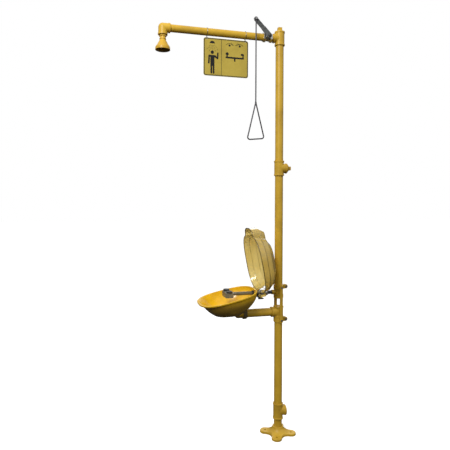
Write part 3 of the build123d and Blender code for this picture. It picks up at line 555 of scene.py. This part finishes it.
# ---- bowl strainer: a domed disc with two rings of holes ----
def bowl_strainer():
    data = bmesh.new()
    count = 48
    radii = (0.0025, 0.0055, 0.0085, 0.0115, 0.0145, 0.0175)
    thickness, crown = 0.0022, 0.0012
    levels = []
    for level in (thickness, 0.0):
        circles = []
        for radius in radii:
            z = SUMP_COVER_Z + level + crown * (1 - (radius / radii[-1]) ** 2)
            turns = [TURN * k / count for k in range(count)]
            circles.append([data.verts.new((SUMP_X + radius * math.cos(turn), radius * math.sin(turn), z))
                            for turn in turns])
        levels.append(circles)
    top, low = levels
    holes = []
    for i in range(len(radii) - 1):
        for k in range(count):
            n = (k + 1) % count
            if i in (1, 3) and k % 6 in (2, 3):
                holes.append((i, k))
                continue
            data.faces.new((top[i][k], top[i][n], top[i + 1][n], top[i + 1][k]))
            data.faces.new((low[i][n], low[i][k], low[i + 1][k], low[i + 1][n]))
    for i, k in holes:
        n = (k + 1) % count
        data.faces.new((top[i][k], top[i][n], low[i][n], low[i][k]))
        data.faces.new((top[i + 1][n], top[i + 1][k], low[i + 1][k], low[i + 1][n]))
        if (k % 6) == 2:
            data.faces.new((top[i][k], low[i][k], low[i + 1][k], top[i + 1][k]))
        else:
            data.faces.new((top[i][n], top[i + 1][n], low[i + 1][n], low[i][n]))
    data.faces.new(top[0])
    data.faces.new(low[0][::-1])
    for k in range(count):
        n = (k + 1) % count
        data.faces.new((top[-1][n], top[-1][k], low[-1][k], low[-1][n]))
    finish_piece("bowl_strainer", data, "steel_fastener", "root", False)


# ---- thread turns left showing where pipes enter fittings ----
def thread_turns(name, start, direction, radius):
    """A raised helix round a pipe, fading out at both ends."""
    pitch, steps = THREAD_PITCH, 44
    data = bmesh.new()
    along = Vector(direction).normalized()
    side = along.orthogonal().normalized()
    other = along.cross(side)
    total = int(THREAD_TURNS * steps)
    loops = []
    for k in range(total + 1):
        angle = TURN * k / steps
        out = math.cos(angle) * side + math.sin(angle) * other
        fade = min(1.0, k / 8, (total - k) / 8)
        base = Vector(start) + along * (pitch * k / steps)
        loops.append([data.verts.new(base + out * (radius + rise) + along * shift) for rise, shift in
                      ((-0.0006, -0.45 * pitch), (0.0002 + 0.0007 * fade, 0.0), (-0.0006, 0.45 * pitch))])
    for a, b in zip(loops, loops[1:]):
        for j in range(3):
            n = (j + 1) % 3
            data.faces.new((a[j], a[n], b[n], b[j]))
    data.faces.new(loops[0][::-1])
    data.faces.new(loops[-1])
    finish_piece(name, data, "safety_yellow", "root")


# ---- dark domed cap over the lever's pivot nut ----
def pivot_cap():
    low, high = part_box("lever_nut")
    centre = Vector(((low.x + high.x) / 2, 0.0, (low.z + high.z) / 2))
    tip_depth = -0.0030
    outline = ((0.0045, -0.0027), (0.0078, -0.0016), (0.0094, 0.0006), (0.0096, 0.0050), (0.0090, 0.0054))
    data = bmesh.new()
    rings = []
    for radius, depth in outline:
        turns = [TURN * k / CAP_POINTS for k in range(CAP_POINTS)]
        rings.append([data.verts.new((centre.x + radius * math.cos(turn), low.y + depth,
                                      centre.z + radius * math.sin(turn))) for turn in turns])
    grid_faces(data, rings, False)
    tip = data.verts.new((centre.x, low.y + tip_depth, centre.z))
    for k in range(CAP_POINTS):
        data.faces.new((tip, rings[0][k], rings[0][(k + 1) % CAP_POINTS]))
    data.faces.new(rings[-1])
    finish_piece("pivot_cap", data, "dark_plastic", "shower_lever")


def all_threads():
    down, up = (0, 0, -1), (0, 0, 1)
    for node, ends in (("waste_tee", (up, down)), ("drain_tee", (down,)), ("supply_tee", (up, down)),
                       ("top_tee", (down,))):
        low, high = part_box(node)
        for number, direction in enumerate(ends):
            z = high.z + THREAD_GAP if direction == up else low.z - THREAD_GAP
            thread_turns(f"{node}_thread_{number}", (0.0, 0.0, z), direction, POLE_R)
    flange_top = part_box("floor_flange")[1].z
    thread_turns("flange_thread", (0.0, 0.0, flange_top + THREAD_GAP), up, POLE_R)
    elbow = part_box("arm_elbow")[1]
    arm_z = JOINTS["shower_lever_turn"]["pos_m"][2]
    thread_turns("elbow_thread", (elbow.x + THREAD_GAP, 0.0, arm_z), (1, 0, 0), ARM_R)
    drain_z = (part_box("drain_arm")[0].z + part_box("drain_arm")[1].z) / 2
    thread_turns("drain_thread", (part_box("drain_tee")[0].x - THREAD_GAP, 0.0, drain_z), (-1, 0, 0), POLE_R)


# ---- sign artwork: thin raised print on the plate's near face ----
SIGN_LOW, SIGN_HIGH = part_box("sign_plate")
SIGN_SIZE = SIGN_HIGH - SIGN_LOW


def on_sign(u, v):
    """u runs from the plate's left edge and v from its top, both as a share of the plate."""
    return SIGN_LOW.x + u * SIGN_SIZE.x, SIGN_HIGH.z - v * SIGN_SIZE.z


def prism(mesh_data, ring, lift, hole=None):
    """A flat printed shape on the sign: ring, and an optional hole ring of as many points."""
    front = SIGN_LOW.y - lift
    back = SIGN_LOW.y + PRINT_SINK
    outer_front = [mesh_data.verts.new((x, front, z)) for x, z in ring]
    outer_back = [mesh_data.verts.new((x, back, z)) for x, z in ring]
    count = len(ring)
    if hole is None:
        mesh_data.faces.new(outer_front)
        mesh_data.faces.new(outer_back[::-1])
    else:
        inner_front = [mesh_data.verts.new((x, front, z)) for x, z in hole]
        inner_back = [mesh_data.verts.new((x, back, z)) for x, z in hole]
        for k in range(count):
            n = (k + 1) % count
            mesh_data.faces.new((outer_front[k], outer_front[n], inner_front[n], inner_front[k]))
            mesh_data.faces.new((outer_back[n], outer_back[k], inner_back[k], inner_back[n]))
            mesh_data.faces.new((inner_front[k], inner_front[n], inner_back[n], inner_back[k]))
    for k in range(count):
        n = (k + 1) % count
        mesh_data.faces.new((outer_front[n], outer_front[k], outer_back[k], outer_back[n]))


def capsule(start, end, radius, steps=10):
    """A stroke with round ends."""
    (x0, z0), (x1, z1) = start, end
    heading = math.atan2(z1 - z0, x1 - x0)
    ring = []
    for k in range(steps + 1):
        turn = heading + math.pi / 2 + math.pi * k / steps
        ring.append((x0 + radius * math.cos(turn), z0 + radius * math.sin(turn)))
    for k in range(steps + 1):
        turn = heading - math.pi / 2 + math.pi * k / steps
        ring.append((x1 + radius * math.cos(turn), z1 + radius * math.sin(turn)))
    return ring


def disc(centre, radius_x, radius_z, steps=28):
    turns = [TURN * k / steps for k in range(steps)]
    return [(centre[0] + radius_x * math.cos(turn), centre[1] + radius_z * math.sin(turn)) for turn in turns]


def round_frame(u_low, v_low, u_high, v_high, corner, steps=6):
    """A rectangle with round corners, given by two of the plate's shares."""
    x0, z1 = on_sign(u_low, v_low)
    x1, z0 = on_sign(u_high, v_high)
    ring = []
    for cx, cz, first in ((x1 - corner, z1 - corner, 0), (x0 + corner, z1 - corner, 90),
                          (x0 + corner, z0 + corner, 180), (x1 - corner, z0 + corner, 270)):
        for k in range(steps + 1):
            turn = math.radians(first + 90 * k / steps)
            ring.append((cx + corner * math.cos(turn), cz + corner * math.sin(turn)))
    return ring


def sign_border():
    data = bmesh.new()
    outer = round_frame(0.004, 0.005, 0.996, 0.995, 0.012)
    inner = round_frame(0.026, 0.032, 0.974, 0.968, 0.008)
    prism(data, outer, PRINT_LIFT, inner)
    bar = [on_sign(u, v) for u, v in ((0.3895, 0.034), (0.3895, 0.966), (0.4005, 0.966), (0.4005, 0.034))]
    prism(data, bar[::-1], PRINT_LIFT * 0.8)
    finish_piece("sign_border_print", data, "sign_face", "sign", False, "sign_olive_ink")


def sign_spray():
    """Fan of drops under the drawn shower head."""
    data = bmesh.new()
    cx, cz = on_sign(0.193, 0.115)
    for row, (near, far) in enumerate(((0.018, 0.026), (0.031, 0.040), (0.045, 0.055))):
        for k in range(5):
            turn = math.radians(-90 + (k - 2) * 19 + (row % 2) * 5)
            start = (cx + near * math.cos(turn), cz + near * math.sin(turn))
            end = (cx + far * math.cos(turn), cz + far * math.sin(turn))
            prism(data, capsule(start, end, 0.00095, 4), PRINT_LIFT)
    finish_piece("sign_spray_print", data, "sign_face", "sign", False, "sign_olive_ink")


def shower_head_shapes():
    """A dome over a rim."""
    cx, cz = on_sign(0.193, 0.135)
    dome = [(cx + 0.0145 * math.cos(math.pi * k / 14), cz + 0.0125 * math.sin(math.pi * k / 14))
            for k in range(15)]
    return [dome, capsule((cx - 0.016, cz), (cx + 0.016, cz), 0.0016)]


def strokes(rows):
    return [capsule(on_sign(*start), on_sign(*end), radius) for start, end, radius in rows]


def person_shapes():
    """A plain figure with one arm raised."""
    head = disc(on_sign(0.193, 0.378), 0.0094, 0.0098)
    body = [on_sign(u, v) for u, v in ((0.150, 0.452), (0.150, 0.70), (0.158, 0.74), (0.232, 0.74),
                                       (0.240, 0.70), (0.240, 0.452))]
    legs = (((0.170, 0.72), (0.172, 0.922), 0.0050), ((0.220, 0.72), (0.222, 0.922), 0.0050))
    shoulders = (((0.126, 0.476), (0.262, 0.482), 0.0056),)
    arms = (((0.122, 0.484), (0.115, 0.665), 0.0044), ((0.255, 0.490), (0.307, 0.532), 0.0048),
            ((0.310, 0.528), (0.314, 0.395), 0.0042))
    return [head, body] + strokes(legs + shoulders + arms)


def wash_shapes():
    """A crossbar on a stem, with a cup at each end."""
    bars = strokes((((0.504, 0.484), (0.884, 0.484), 0.0046), ((0.694, 0.49), (0.694, 0.562), 0.0044),
                    ((0.520, 0.48), (0.520, 0.40), 0.0036), ((0.882, 0.48), (0.882, 0.40), 0.0036)))
    return bars + [disc(on_sign(0.522, 0.385), 0.0094, 0.0082), disc(on_sign(0.866, 0.382), 0.0094, 0.0062)]


def eye_shapes(u, side):
    """An iris, a lid line and three lashes that lean to one side."""
    ex, ez = on_sign(u, 0.160)

    def round_eye(degrees, wide, high, drop):
        turn = math.radians(degrees)
        return ex + wide * math.cos(turn), ez - drop + high * math.sin(turn)

    shapes = [disc((ex, ez), 0.0058, 0.0060)]
    for k in range(6):
        start = round_eye(155 - k * 22, 0.0205, 0.0155, 0.004)
        end = round_eye(155 - (k + 1) * 22, 0.0205, 0.0155, 0.004)
        shapes.append(capsule(start, end, 0.0011, 4))
    for k in range(3):
        lean = 90 + side * (28 + 22 * k)
        root, tip = round_eye(lean, 0.0215, 0.0165, 0.003), round_eye(lean, 0.0270, 0.0215, 0.003)
        shapes.append(capsule(root, tip, 0.0008, 4))
    return shapes


def sign_pictograms():
    data = bmesh.new()
    shapes = shower_head_shapes() + person_shapes() + wash_shapes()
    shapes += eye_shapes(0.575, -1) + eye_shapes(0.806, 1)
    for k, ring in enumerate(shapes):
        prism(data, ring, PRINT_LIFT + PRINT_LAYER * k)
    finish_piece("sign_pictogram_print", data, "sign_face", "sign", False, "sign_ink")


dress_cad_nodes()
sign_border()
sign_spray()
sign_pictograms()
flange_casting()
cover_rim()
cover_steps()
bowl_rim()
bowl_strainer()
pivot_cap()
all_threads()
make_floor()
make_lights()
make_camera()
bpy.context.scene.view_settings.view_transform = "Standard"
